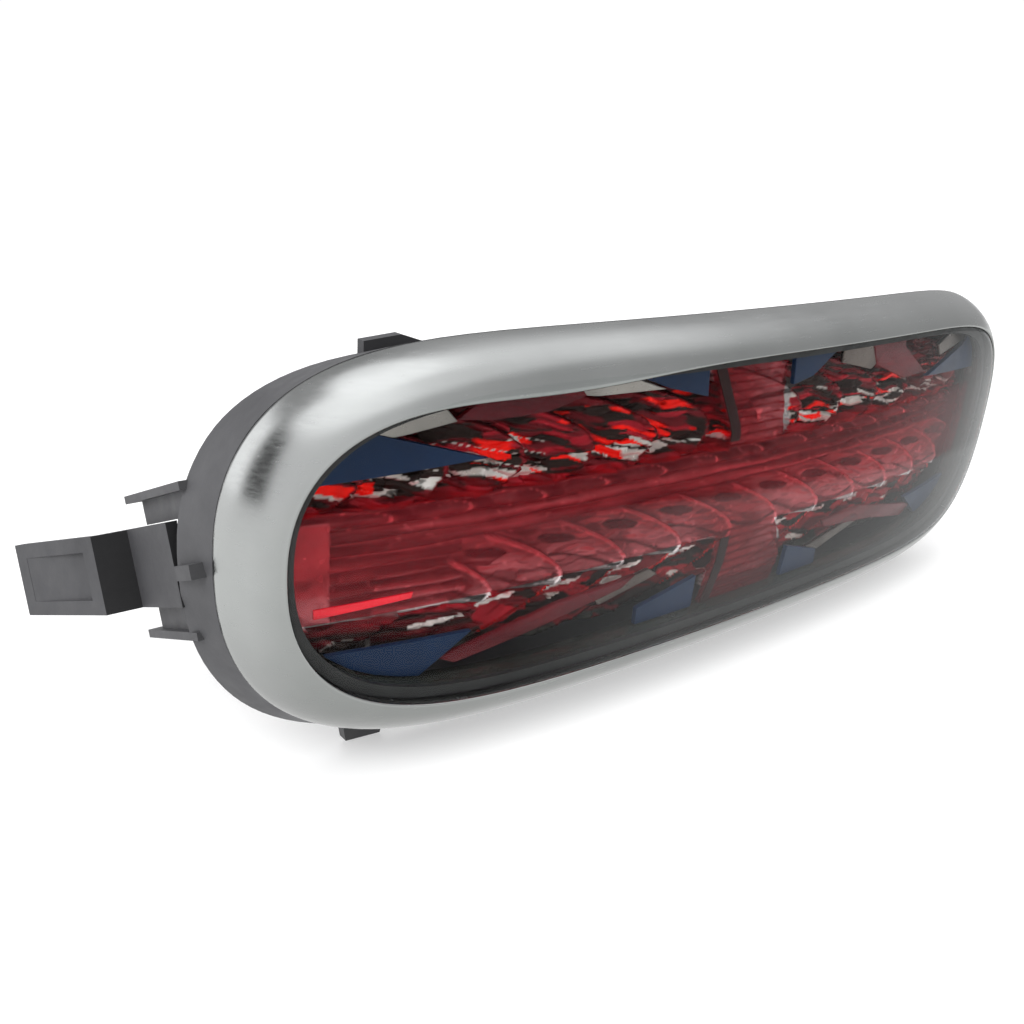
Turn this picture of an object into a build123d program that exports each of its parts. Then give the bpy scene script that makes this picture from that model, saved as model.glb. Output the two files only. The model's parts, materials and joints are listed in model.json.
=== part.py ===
from build123d import *
import os
import math

# High-mount stop lamp. Millimetres.
# X runs along the lamp, -Y is the way the lens faces, +Z is up.
# The face is vertical. The lamp goes into its panel along INS, a line that drops as it goes back,
# so the rear body, the snap arms, the guide ribs and the hooks are drawn square to INS.
# The origin is the centre of the flat rest pad on the back wall.

os.makedirs("parts", exist_ok=True)

# ---------------------------------------------------------------- driving dimensions
HALF_L = 125.0          # half length of the oval
HALF_H = 38.93          # half height of the oval
NX, NZ = 7.5, 2.284     # superellipse exponents: flat long sides, slightly squared ends
BOW2, BOW4 = 7.29, 5.61 # sweep-back of the face at the ends, square and fourth-power terms
INS_DEG = 23.7          # drop of the insertion direction
PART_A, PART_B = 1.92, -1.41    # inset of the ring-to-housing line, ends and long sides
BEZ_END, BEZ_TOP, BEZ_BOT = 9.55, 6.28, 8.64   # ring width at the ends, top and bottom
RING_D = 11.09          # ring height in front of the joint line
ROLL_N = 1.5            # roundness of the ring's roll
RING_T = 2.0            # ring wall
WALL_D = 10.2           # housing wall depth behind the joint line
REAR_BOW = 12.35        # sweep-back of the housing's rear edge
REAR_RAKE = 0.095       # rake of the housing's rear edge
REAR_DROP = 3.97        # drop of the rear edge along INS
WALL_T = 2.2
PLATE_T = 2.0           # rear plate of the housing
LENS_T = 2.6
LENS_CROWN = 3.0
BODY_HL, BODY_U0, BODY_U1 = 96.0, -21.0, 24.0  # rear body half length, bottom, top
BODY_R = 12.0
BODY_V = 33.0           # rear body's back face, along INS
BODY_T = 2.0
ARM_T = 2.2
ARM_U0, ARM_U1 = -0.7, 15.0
ARM_X = 125.4           # outer face of the snap strap
ARM_V0, ARM_V1, ARM_V2 = 21.0, 46.5, 77.5
ARM_JOG, ARM_FLARE = 6.9, 7.6
ARM_RISE0, ARM_RISE1 = 1.7, 1.25   # rise of the tab's far end, bottom and top edges
PIVOT_V = 24.0

DL = math.radians(INS_DEG)
CD, SD = math.cos(DL), math.sin(DL)
WM = (BEZ_TOP + BEZ_BOT) / 2
DZM = (BEZ_BOT - BEZ_TOP) / 2


def bow(x):
    u = x / HALF_L
    return BOW2 * u * u + BOW4 * u ** 4


def rear(x, z, off=0.0):
    u = x / HALF_L
    return WALL_D + off + REAR_BOW * u * u + REAR_RAKE * z


def oval_pts(a, b, n=40, dz=0.0):
    """Even points round a superellipse."""
    m = 240
    q = []   # the end part by height, then the long part by length
    zsw = 0.72
    for i in range(m + 1):
        z = b * zsw * i / m
        q.append((a * (1 - (z / b) ** NZ) ** (1 / NX), z))
    xsw = q[-1][0]
    for i in range(1, m + 1):
        x = xsw * (1 - i / m)
        q.append((x, b * (1 - (x / a) ** NX) ** (1 / NZ)))
    full = q[:]
    full += [(-x, z) for x, z in reversed(q[:-1])]
    full += [(-x, -z) for x, z in q[1:]]
    full += [(x, -z) for x, z in reversed(q[1:-1])]
    full.append(full[0])
    acc = [0.0]
    for i in range(1, len(full)):
        acc.append(acc[-1] + math.dist(full[i], full[i - 1]))
    out, j = [], 0
    for k in range(n):
        t = acc[-1] * k / n
        while acc[j + 1] < t:
            j += 1
        w = (t - acc[j]) / (acc[j + 1] - acc[j])
        out.append((full[j][0] * (1 - w) + full[j + 1][0] * w,
                    full[j][1] * (1 - w) + full[j + 1][1] * w + dz))
    # start at the middle of the bottom, away from the ribs and hooks
    return out[3 * n // 4:] + out[:3 * n // 4]


def level(da, db, yf, dz=0.0):
    """Closed curve: the oval inset by da at the ends and db on the long sides, at depth yf(x, z)."""
    return Edge.make_spline([Vector(x, yf(x, z), z) for x, z in oval_pts(HALF_L - da, HALF_H - db, 40, dz)],
                            periodic=True)


def front(y):
    return lambda x, z: y + bow(x)


def rearf(off):
    return lambda x, z: rear(x, z, off)


def hoop(levels):
    """Solid swept round the oval whose section's corners are the closed list of level curves."""
    edges = [level(*l) for l in levels]
    faces = [Face.make_surface_from_curves(edges[i], edges[(i + 1) % len(edges)]) for i in range(len(edges))]
    s = Solid(Shell(faces))
    if s.volume < 0:
        s = Solid(s.wrapped.Reversed())
    return s


def oval_prism(a, b, y0, y1, dz=0.0):
    e = Edge.make_spline([Vector(x, y0, z) for x, z in oval_pts(a, b, 40, dz)], periodic=True)
    return Solid.extrude(Face(Wire([e])), Vector(0, y1 - y0, 0))


def slab(yf, thick, xs=126.0, zs=42.0, nx=15, nz=9, dz=0.0):
    pts = [[Vector(-xs + 2 * xs * i / (nx - 1),
                   yf(-xs + 2 * xs * i / (nx - 1), dz - zs + 2 * zs * j / (nz - 1)),
                   dz - zs + 2 * zs * j / (nz - 1)) for j in range(nz)] for i in range(nx)]
    return Solid.extrude(Face.make_surface_from_array_of_points(pts, tol=0.01), Vector(0, thick, 0))


TILT = Location((0, 0, 0), (-INS_DEG, 0, 0))


def tilt(s):
    return TILT * s


def bx(x0, x1, v0, v1, u0, u1):
    """Box in the insertion frame: x along the lamp, v back along INS, u up square to INS."""
    return Pos((x0 + x1) / 2, (v0 + v1) / 2, (u0 + u1) / 2) * Box(abs(x1 - x0), abs(v1 - v0), abs(u1 - u0))


def cyl_v(x, u, r, v0, v1):
    return Pos(x, (v0 + v1) / 2, u) * Rot(90, 0, 0) * Cylinder(r, abs(v1 - v0))


def rbox_v(hl, u0, u1, r, v0, v1):
    """Rounded box along v."""
    sk = Plane.XZ * Pos(0, (u0 + u1) / 2) * RectangleRounded(2 * hl, u1 - u0, r)
    s = extrude(sk, amount=-(v1 - v0))
    bb = s.bounding_box()
    return Pos(0, v0 - bb.min.Y, 0) * s


OU = (BODY_U0 + BODY_U1) / 2
PAD_H = 3.2             # rest pad on the back wall, taller than the screw heads
ORG = Vector(0, (BODY_V + PAD_H) * CD + OU * SD, OU * CD - (BODY_V + PAD_H) * SD)
nodes = {}


def put(name, shape):
    parts = shape if isinstance(shape, list) else [shape]
    sol = []
    for p in parts:
        sol += list(p.solids())
    sol = [Pos(-ORG.X, -ORG.Y, -ORG.Z) * s for s in sol]
    obj = sol[0] if len(sol) == 1 else Compound(children=sol)
    nodes[name] = obj
    print(name, len(sol), round(sum(s.volume for s in sol), 1), all(s.is_valid for s in sol))
    export_step(obj, f"parts/{name}.step")


# ---------------------------------------------------------------- trim ring
def roll(u, inset=0.0):
    d = RING_D - inset
    y = -d * max(0.0, 1 - (1 - u) ** ROLL_N) ** (1 / ROLL_N)
    return (BEZ_END * u + PART_A * (1 - u) + inset * (1 - u), WM * u + PART_B * (1 - u) + inset * (1 - u),
            front(y), DZM * u)


LIP = 2.6
outer = [roll(u) for u in (0.0, 0.1, 0.28, 0.52, 0.78, 1.0)]
inner = [(BEZ_END, WM, front(-RING_D + LIP), DZM),
         (BEZ_END - 1.6, WM - 1.6, front(-RING_D + LIP), DZM)] + \
        [(l[0] + 0.2, l[1] + 0.2, l[2], l[3]) for l in [roll(u, RING_T) for u in (0.5, 0.15, 0.0)]]
ring = hoop(outer + inner)
put("trim_ring", ring)

# ---------------------------------------------------------------- outer lens
LA, LB = HALF_L - BEZ_END - 0.08, HALF_H - WM - 0.08


def lens_y(x, z):
    k = max(0.0, 1 - ((z - DZM) / LB) ** 2) * max(0.0, 1 - (x / LA) ** 6)
    return -RING_D + bow(x) - LENS_CROWN * k


lens = oval_prism(LA, LB, -30, 30, DZM) & slab(lens_y, LENS_T, 118, 36, 19, 11, DZM)
put("outer_lens", lens)

# seal bead under the lens edge
put("lens_seal", hoop([(BEZ_END + 0.1, WM + 0.1, front(-RING_D + LENS_T + 0.25), DZM),
                       (BEZ_END + 2.2, WM + 2.2, front(-RING_D + LENS_T + 0.25), DZM),
                       (BEZ_END + 2.2, WM + 2.2, front(-RING_D + LENS_T + 1.6), DZM),
                       (BEZ_END + 0.1, WM + 0.1, front(-RING_D + LENS_T + 1.6), DZM)]))
# dark frame wall round the reflectors, from the seal back to the rear plate
put("inner_bezel", hoop([(BEZ_END + 0.2, WM + 0.2, front(-RING_D + LENS_T + 1.7), DZM),
                         (BEZ_END + 2.0, WM + 2.0, front(-RING_D + LENS_T + 1.7), DZM),
                         (BEZ_END + 2.6, WM + 2.6, rearf(-PLATE_T - 0.7), DZM),
                         (BEZ_END + 0.8, WM + 0.8, rearf(-PLATE_T - 0.7), DZM)]))

# ---------------------------------------------------------------- rear housing


HOLE_A, HOLE_B = 36.0, 20.5   # inset of the rear plate's opening, ends and long sides
housing = hoop([(PART_A, PART_B, front(0.06), 0.0),
                (-0.38, -0.38, rearf(0.0), -REAR_DROP),
                (HOLE_A, HOLE_B, rearf(0.0), -REAR_DROP),
                (HOLE_A, HOLE_B, rearf(-PLATE_T), -REAR_DROP * 0.85),
                (-0.38 + WALL_T, -0.38 + WALL_T, rearf(-PLATE_T), -REAR_DROP * 0.85),
                (PART_A + WALL_T, PART_B + WALL_T, front(0.06), 0.0)])
for sx in (-1, 1):
    def mb(x0, x1, v0, v1, u0, u1):
        a, b = sorted((sx * x0, sx * x1))
        return tilt(bx(a, b, v0, v1, u0, u1))
    # guide ribs: plates and their set-in webs (x given as distance from the centre)
    ribs = [mb(119.8, 124.3, 15.5, 47.5, 20.0, 21.6), mb(121.0, 122.6, 16.5, 42.5, 15.2, 20.4),
            mb(119.8, 124.3, 22.0, 50.0, -7.2, -5.6), mb(121.0, 122.6, 22.0, 46.0, -6.0, -1.1)]
    # end lug on the wall
    lug = mb(123.0, 126.2, 13.4, 20.8, 4.3, 7.0)
    # hooks at the rear edge, top and bottom
    top = Plane.XZ * Polyline((sx * 91.5, 33.0), (sx * 91.5, 37.0), (sx * 83.5, 37.6), (sx * 76.5, 35.2), (sx * 76.5, 33.0), close=True)
    top = extrude(make_face(top), amount=-2.2)
    top = Pos(0, 18.2, 0) * top
    bot = Plane.XZ * Polyline((sx * 98.0, -38.0), (sx * 97.0, -43.6), (sx * 89.0, -44.4), (sx * 87.0, -38.0), close=True)
    bot = extrude(make_face(bot), amount=-2.4)
    bot = Pos(0, 11.6, 0) * bot
    # one top hook only, at the left end
    for r in ribs + [lug, bot] + ([top] if sx < 0 else []):
        housing = housing + r
put("rear_housing", housing)

# ---------------------------------------------------------------- rear body, open to the front
front_cut = slab(lambda x, z: rear(x, z, 0.6) - 60, 60, 127, 60, 15, 5, -4)
body = rbox_v(BODY_HL, BODY_U0, BODY_U1, BODY_R, 2, BODY_V) - \
    rbox_v(BODY_HL - BODY_T, BODY_U0 + BODY_T, BODY_U1 - BODY_T, BODY_R - BODY_T, 0, BODY_V - BODY_T)
BOSS = [(sx * 84, u) for sx in (-1, 1) for u in (BODY_U0 + 8, BODY_U1 - 8)]
for x, u in BOSS:
    body = body + cyl_v(x, u, 3.6, 4, BODY_V - 0.5)
body = tilt(body) - front_cut
for x, u in BOSS:
    body = body - tilt(cyl_v(x, u, 1.7, 0, BODY_V + 5))
SOCK_X = 42.0
body = body - tilt(bx(SOCK_X - 9, SOCK_X + 9, BODY_V - 8, BODY_V + 5, OU - 5.5, OU + 5.5))
VENT_X = -45.0
body = body - tilt(cyl_v(VENT_X, OU, 3.0, BODY_V - 8, BODY_V + 5))
body = body + tilt(bx(-22, 22, BODY_V - 0.5, BODY_V + PAD_H, OU - 12, OU + 12))
put("rear_body", body)

# foam seal behind the flange
put("body_gasket", hoop([(6.5, 5.6, rearf(0.6), -REAR_DROP), (11.5, 9.6, rearf(0.6), -REAR_DROP),
                         (11.5, 9.6, rearf(3.6), -REAR_DROP), (6.5, 5.6, rearf(3.6), -REAR_DROP)]))

# body screws, heads on the back wall
scr = []
for x, u in BOSS:
    s = cyl_v(x, u, 1.6, 14, BODY_V + 0.05) + cyl_v(x, u, 3.2, BODY_V + 0.05, BODY_V + 2.0)
    s = s - bx(x - 2.0, x + 2.0, BODY_V + 1.0, BODY_V + 3, u - 0.4, u + 0.4) \
        - bx(x - 0.4, x + 0.4, BODY_V + 1.0, BODY_V + 3, u - 2.0, u + 2.0)
    scr.append(tilt(s) - slab(lambda x_, z_: rear(x_, z_, 0.6) - 60, 60, 127, 60, 15, 5, -4))
put("body_screws", scr)

# ---------------------------------------------------------------- connector
sock = bx(SOCK_X - 8.9, SOCK_X + 8.9, BODY_V - 6, BODY_V + 12, OU - 5.4, OU + 5.4) \
    + bx(SOCK_X - 11, SOCK_X + 11, BODY_V + 0.05, BODY_V + 2.0, OU - 7.5, OU + 7.5)
sock = sock - bx(SOCK_X - 7.4, SOCK_X + 7.4, BODY_V - 1, BODY_V + 13, OU - 3.9, OU + 3.9)
PIN_U = OU + 2.6
for dx in (-3.2, 3.2):
    sock = sock - bx(SOCK_X + dx - 1.15, SOCK_X + dx + 1.15, BODY_V - 7, BODY_V, PIN_U - 0.45, PIN_U + 0.45)
put("connector_socket", tilt(sock))
put("connector_terminals", [tilt(bx(SOCK_X + dx - 1.1, SOCK_X + dx + 1.1, BODY_V - 10, BODY_V + 5.8, PIN_U - 0.4, PIN_U + 0.4))
                            for dx in (-3.2, 3.2)])

# ---------------------------------------------------------------- vent
vent = cyl_v(VENT_X, OU, 2.9, BODY_V - 3, BODY_V + 0.05) + cyl_v(VENT_X, OU, 5.0, BODY_V + 0.05, BODY_V + 3.0)
vent = vent - cyl_v(VENT_X, OU, 2.0, BODY_V - 4, BODY_V + 2.0)
put("vent_cap", tilt(vent))
put("vent_membrane", tilt(cyl_v(VENT_X, OU, 1.9, BODY_V + 0.6, BODY_V + 1.1)))

# ---------------------------------------------------------------- circuit board, flat, in the rear body
PCB_Y0, PCB_T = 19.0, 1.6
PCB_HL, PCB_Z0, PCB_Z1 = 80.0, -19.0, 10.0
pcb = Pos(0, PCB_Y0 + PCB_T / 2, (PCB_Z0 + PCB_Z1) / 2) * Box(2 * PCB_HL, PCB_T, PCB_Z1 - PCB_Z0)
BS = [(sx * 74.0, z) for sx in (-1, 1) for z in (PCB_Z0 + 4, PCB_Z1 - 4)]


def cyl_y(x, z, r, y0, y1):
    return Pos(x, (y0 + y1) / 2, z) * Rot(90, 0, 0) * Cylinder(r, abs(y1 - y0))


for x, z in BS:
    pcb = pcb - cyl_y(x, z, 1.4, PCB_Y0 - 1, PCB_Y0 + 4)
put("circuit_board", pcb)
LEDX = [-70 + 20 * i for i in range(8)]
LED_Z = (-11.5, 4.5)
put("led_chips", [Pos(x, PCB_Y0 - 0.8, z) * Box(3.4, 1.5, 3.0) for x in LEDX for z in LED_Z])
put("board_resistors", [Pos(x + 10, PCB_Y0 + PCB_T + 0.45, z) * Box(3.0, 0.8, 1.6) for x in LEDX[:-1] for z in (-6.5, 0.5)])
put("driver_chip", Pos(0, PCB_Y0 + PCB_T + 0.95, -11) * Box(7, 1.8, 6))
put("board_capacitors", [Pos(x, PCB_Y0 + PCB_T + 1.55, 3.0) * Box(5, 3.0, 5) for x in (-26, 26)])
put("board_screws", [cyl_y(x, z, 1.3, PCB_Y0 - 2.4, PCB_Y0 + PCB_T + 0.1) + cyl_y(x, z, 2.3, PCB_Y0 + PCB_T + 0.1, PCB_Y0 + PCB_T + 1.6)
                     for x, z in BS])
# leads from the socket's tails to the board
TU = PIN_U


def ins(x, v, u):
    return Vector(x, v * CD + u * SD, u * CD - v * SD)


def lead(dx, name):
    a = ins(SOCK_X + dx, BODY_V - 10.1, TU)
    b = ins(SOCK_X + dx, BODY_V - 11.7, TU)
    d = (b - a).normalized()
    c = Solid.make_cylinder(0.8, 1.5, Plane(origin=a, z_dir=d))
    put(name, c)


# ---------------------------------------------------------------- reflector tray
tray_out = oval_prism(HALF_L - BEZ_END - 3.0, HALF_H - WM - 3.0, -20, 40, DZM)
tray = tray_out & slab(lambda x, z: rear(x, z, -PLATE_T - 2.3), 1.4, 118, 36, 15, 3, DZM)
for x in LEDX:
    for z in LED_Z:
        tray = tray - (Pos(x, 8, z) * Box(6, 20, 5))
put("reflector_tray", tray)

# reflector rows: wedge-shaped cups that climb from the tray, one row above the band and one below


def cup_row(z0, z1, n, x0, x1, tip, base, k):
    out = []
    step = (x1 - x0) / n
    for i in range(n):
        xa = x0 + step * i + 0.25
        xb = x0 + step * (i + 1) - 0.25
        xm = (xa + xb) / 2
        y = base + min(bow(xa), bow(xb))
        p = [(xa, y), (xb, y), (xb, y - 7.5 * k), (xa + 0.55 * step, y - 6.0 * k), (xa, y - 2.2 * k)]
        f = make_face(Polyline(*[(a, b, z0) for a, b in p], close=True))
        s = Solid.extrude(f.faces()[0], Vector(0, 0, z1 - z0))
        zc = z0 if tip > 0 else z1
        s = s - (Pos(xm, y - 6.3 * k, (z0 + z1) / 2 + tip * 2.0) * Rot(0, 0, 90) * Sphere(4.6 * k))
        out.append(s)
    return out


put("reflector_upper", cup_row(8.2, 25.5, 10, -96, 96, 1, 6.0, 0.82))
put("reflector_lower", cup_row(-23.5, -6.4, 10, -96, 96, -1, 3.4, 0.52))

# ---------------------------------------------------------------- pattern inserts behind the lens
IA, IB = HALF_L - BEZ_END - 2.6, HALF_H - WM - 2.6
core = oval_prism(IA, IB, -30, 30, DZM)


def sheet(yo, t, cutter):
    return (cutter & core) & slab(lambda x, z: yo + bow(x), t, 118, 36, 15, 3, DZM)


def zbox(x0, x1, z0, z1):
    return Pos((x0 + x1) / 2, 0, (z0 + z1) / 2) * Box(x1 - x0, 60, z1 - z0)


BAND = 7.0
BAR = 9.0
cross = zbox(-130, 130, DZM - BAND, DZM + BAND) + zbox(-BAR, BAR, -40, 40)
put("red_cross_lens", sheet(-5.2, 1.6, cross))


def diag(sx, sz, off, w):
    """Diagonal strip from the centre to a corner of the face."""
    ang = math.degrees(math.atan2(27.0, 96.0))
    s = Pos(sx * 56, 0, DZM + sz * 16.0) * Rot(0, -ang * sx * sz, 0) * Pos(0, 0, off) * Box(150, 60, w)
    keep = (Pos(sx * (BAR + 0.4 + 60), 0, DZM + sz * (BAND + 0.4 + 20)) * Box(120, 60, 40))
    return s & keep


red, pale = [], []
for sx in (-1, 1):
    for sz in (-1, 1):
        red.append(sheet(-5.0, 1.2, diag(sx, sz, 0.0, 5.2)))
        pale.append(sheet(-5.0, 1.2, diag(sx, sz, 4.6, 3.6)))
        pale.append(sheet(-5.0, 1.2, diag(sx, sz, -4.6, 3.6)))
put("red_diagonal_strips", red)
put("pale_diagonal_strips", pale)
blue = []
for sx in (-1, 1):
    for sz in (-1, 1):
        quad = Pos(sx * (BAR + 3.0 + 60), 0, DZM + sz * (BAND + 3.0 + 20)) * Box(120, 60, 40)
        ang = math.degrees(math.atan2(27.0, 96.0))
        band = Pos(sx * 56, 0, DZM + sz * 16.0) * Rot(0, -ang * sx * sz, 0) * Box(260, 60, 13.6)
        blue += list(sheet(-5.0, 1.2, quad - band).solids())
put("blue_corner_panels", [b for b in blue if b.volume > 5])

# ---------------------------------------------------------------- snap arms


def arm(sx):
    def P(x, v):
        return (sx * x, v)
    X = ARM_X
    t = ARM_T
    out = [P(X, ARM_V0), P(X, ARM_V1), P(X + ARM_JOG, ARM_V1 + 0.6), P(X + ARM_JOG + ARM_FLARE, ARM_V2),
           P(X + ARM_JOG + ARM_FLARE - t, ARM_V2 + 0.5), P(X + ARM_JOG - t * 0.75, ARM_V1 + 0.6 + t),
           P(X - t, ARM_V1 + t), P(X - t, ARM_V0)]
    f = make_face(Polyline(*[(a, b, ARM_U0) for a, b in out], close=True)).faces()[0]
    s = Solid.extrude(f, Vector(0, 0, ARM_U1 + ARM_RISE1 + 0.5 - ARM_U0))
    # the tab's far end rises a little
    far = ARM_V2 + 2.0
    k = (far - ARM_V1) / (ARM_V2 - ARM_V1)
    g = make_face(Polyline((-160, ARM_V0 - 10, ARM_U0), (-160, ARM_V1, ARM_U0), (-160, far, ARM_U0 + ARM_RISE0 * k),
                           (-160, far, ARM_U1 + ARM_RISE1 * k), (-160, ARM_V1, ARM_U1), (-160, ARM_V0 - 10, ARM_U1), close=True)).faces()[0]
    s = s & Solid.extrude(g, Vector(320, 0, 0))
    # recess in the outer face of the tab
    ang = math.degrees(math.atan2(ARM_FLARE, ARM_V2 - ARM_V1 - 0.6))
    mx, mv = X + ARM_JOG + ARM_FLARE * 0.5, (ARM_V1 + 0.6 + ARM_V2) / 2
    rec = Pos(sx * (mx + 0.25), mv - 0.6, (ARM_U0 + ARM_U1 + 1.5) / 2) * Rot(0, 0, -(ang + 1.4) * sx) * Box(1.6, 23.0, 10.4)
    s = s - rec
    s = s + Pos(sx * (X - t / 2), PIVOT_V, (ARM_U0 + ARM_U1) / 2) * Cylinder(t / 2 + 0.12, ARM_U1 - ARM_U0)
    s = tilt(s)
    s = s - slab(lambda x, z: rear(x, z, 0.35) - 60, 60, 160, 60, 15, 5, -4)
    return s


put("snap_arm_left", arm(-1))
put("snap_arm_right", arm(1))
lead(-3.2, "lead_red")
lead(3.2, "lead_black")
print("origin shift", ORG)
print("pivot", [(ins(sx * (ARM_X - ARM_T / 2), PIVOT_V, 0) - ORG) for sx in (-1, 1)])
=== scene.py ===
import bpy
import bmesh
import json
import math
from mathutils import Matrix, Vector

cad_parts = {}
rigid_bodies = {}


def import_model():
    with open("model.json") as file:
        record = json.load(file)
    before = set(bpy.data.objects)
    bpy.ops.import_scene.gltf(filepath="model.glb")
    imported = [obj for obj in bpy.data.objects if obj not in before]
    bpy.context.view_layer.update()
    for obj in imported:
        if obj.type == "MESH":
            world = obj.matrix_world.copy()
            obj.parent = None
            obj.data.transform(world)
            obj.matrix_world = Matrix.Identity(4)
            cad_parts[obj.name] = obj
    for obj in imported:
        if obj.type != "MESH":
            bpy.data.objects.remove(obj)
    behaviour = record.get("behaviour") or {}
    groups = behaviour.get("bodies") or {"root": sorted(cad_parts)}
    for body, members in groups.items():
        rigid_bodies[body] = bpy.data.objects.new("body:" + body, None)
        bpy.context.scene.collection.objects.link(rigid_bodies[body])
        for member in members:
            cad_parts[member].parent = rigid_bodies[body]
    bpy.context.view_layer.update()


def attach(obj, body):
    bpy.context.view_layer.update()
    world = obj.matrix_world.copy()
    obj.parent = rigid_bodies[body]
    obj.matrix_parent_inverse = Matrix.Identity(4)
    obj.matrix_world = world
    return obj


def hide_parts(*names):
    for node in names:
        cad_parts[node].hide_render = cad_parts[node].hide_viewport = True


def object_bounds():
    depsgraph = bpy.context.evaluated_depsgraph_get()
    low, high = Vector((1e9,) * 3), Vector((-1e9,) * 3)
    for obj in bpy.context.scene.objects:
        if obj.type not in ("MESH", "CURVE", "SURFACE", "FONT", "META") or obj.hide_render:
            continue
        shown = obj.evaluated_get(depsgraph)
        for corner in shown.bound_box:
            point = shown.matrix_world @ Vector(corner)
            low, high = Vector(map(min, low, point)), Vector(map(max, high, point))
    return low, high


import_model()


BODY = "housing"

# ------------------------------------------------------------------ the lamp's own numbers, millimetres
HALF_L, HALF_H, NX, NZ = 125.0, 38.93, 7.5, 2.284
BOW2, BOW4 = 7.29, 5.61
PART_A, PART_B = 1.92, -1.41
BEZ_END, BEZ_TOP, BEZ_BOT = 9.55, 6.28, 8.64
RING_D, ROLL_N, RING_T = 11.09, 1.5, 2.0
LENS_T, LENS_CROWN = 2.4, 3.0
WM = (BEZ_TOP + BEZ_BOT) / 2
DZM = (BEZ_BOT - BEZ_TOP) / 2
OY, OZ = 33.7499, -13.177     # the row origin in these numbers


def bow(x):
    u = x / HALF_L
    return BOW2 * u * u + BOW4 * u ** 4


def P(x, y, z):
    return Vector((x / 1000.0, (y - OY) / 1000.0, (z - OZ) / 1000.0))


def oval_pts(a, b, n, dz=0.0):
    m, q = 400, []
    for i in range(m + 1):
        z = b * 0.72 * i / m
        q.append((a * (1 - (z / b) ** NZ) ** (1 / NX), z))
    xs = q[-1][0]
    for i in range(1, m + 1):
        x = xs * (1 - i / m)
        q.append((x, b * (1 - (x / a) ** NX) ** (1 / NZ)))
    full = q[:] + [(-x, z) for x, z in reversed(q[:-1])] + [(-x, -z) for x, z in q[1:]] + [(x, -z) for x, z in reversed(q[1:-1])]
    full.append(full[0])
    acc = [0.0]
    for i in range(1, len(full)):
        acc.append(acc[-1] + math.dist(full[i], full[i - 1]))
    out, j = [], 0
    for k in range(n):
        t = acc[-1] * k / n
        while acc[j + 1] < t:
            j += 1
        w = (t - acc[j]) / (acc[j + 1] - acc[j])
        out.append((full[j][0] * (1 - w) + full[j + 1][0] * w, full[j][1] * (1 - w) + full[j + 1][1] * w + dz))
    return out


def inside(x, z, a, b, dz=0.0):
    return abs(x / a) ** NX + abs((z - dz) / b) ** NZ <= 1.0


# ------------------------------------------------------------------ materials
class N:
    """Small helper round one node tree."""
    def __init__(self, name):
        self.m = bpy.data.materials.new(name)
        self.m.use_nodes = True
        self.t = self.m.node_tree
        self.t.nodes.clear()
        self.out = self.t.nodes.new("ShaderNodeOutputMaterial")
        self.tc = self.t.nodes.new("ShaderNodeTexCoord")

    def n(self, kind, **kw):
        x = self.t.nodes.new(kind)
        for k, v in kw.items():
            if k in x.inputs.keys():
                x.inputs[k].default_value = v
            else:
                setattr(x, k, v)
        return x

    def l(self, a, b):
        self.t.links.new(a, b)

    def noise(self, scale, detail=4.0, rough=0.55, stretch=None):
        mp = self.n("ShaderNodeMapping")
        self.l(self.tc.outputs["Object"], mp.inputs["Vector"])
        if stretch:
            mp.inputs["Scale"].default_value = stretch
        no = self.n("ShaderNodeTexNoise", Scale=scale, Detail=detail, Roughness=rough)
        self.l(mp.outputs["Vector"], no.inputs["Vector"])
        return no.outputs["Fac"]

    def ramp(self, fac, stops):
        r = self.n("ShaderNodeValToRGB")
        e = r.color_ramp.elements
        while len(e) < len(stops):
            e.new(0.5)
        for el, (p, c) in zip(e, stops):
            el.position = p
            el.color = (*c, 1.0) if len(c) == 3 else c
        self.l(fac, r.inputs["Fac"])
        return r.outputs["Color"]

    def rng(self, fac, a, b, c, d):
        r = self.n("ShaderNodeMapRange")
        for k, v in zip(("From Min", "From Max", "To Min", "To Max"), (a, b, c, d)):
            r.inputs[k].default_value = v
        self.l(fac, r.inputs["Value"])
        return r.outputs["Result"]

    def bump(self, h, strength, dist, normal=None):
        b = self.n("ShaderNodeBump", Strength=strength, Distance=dist)
        self.l(h, b.inputs["Height"])
        if normal:
            self.l(normal, b.inputs["Normal"])
        return b.outputs["Normal"]

    def bsdf(self, **kw):
        return self.n("ShaderNodeBsdfPrincipled", **{k.replace("_", " "): v for k, v in kw.items()})

    def done(self, shader):
        self.l(shader, self.out.inputs["Surface"])
        return self.m


def plastic(name, dark, light, rough=(0.42, 0.6), grain=1400, bump=0.25):
    k = N(name)
    b = k.bsdf(IOR=1.5)
    k.l(k.ramp(k.noise(60, 5), [(0.3, dark), (0.72, light)]), b.inputs["Base Color"])
    k.l(k.rng(k.noise(220, 3), 0.3, 0.7, rough[0], rough[1]), b.inputs["Roughness"])
    k.l(k.bump(k.noise(grain, 3, 0.6), bump, 0.00012), b.inputs["Normal"])
    return k.done(b.outputs["BSDF"])


def metal(name, a, b_, rough=(0.18, 0.3), stretch=(1, 1, 1), scale=500, bump=0.05):
    k = N(name)
    b = k.bsdf(Metallic=1.0)
    k.l(k.ramp(k.noise(45, 4), [(0.3, a), (0.7, b_)]), b.inputs["Base Color"])
    k.l(k.rng(k.noise(scale, 4, 0.6, stretch), 0.3, 0.7, rough[0], rough[1]), b.inputs["Roughness"])
    k.l(k.bump(k.noise(scale * 2, 2, 0.6, stretch), bump, 0.00005), b.inputs["Normal"])
    return k.done(b.outputs["BSDF"])


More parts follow.
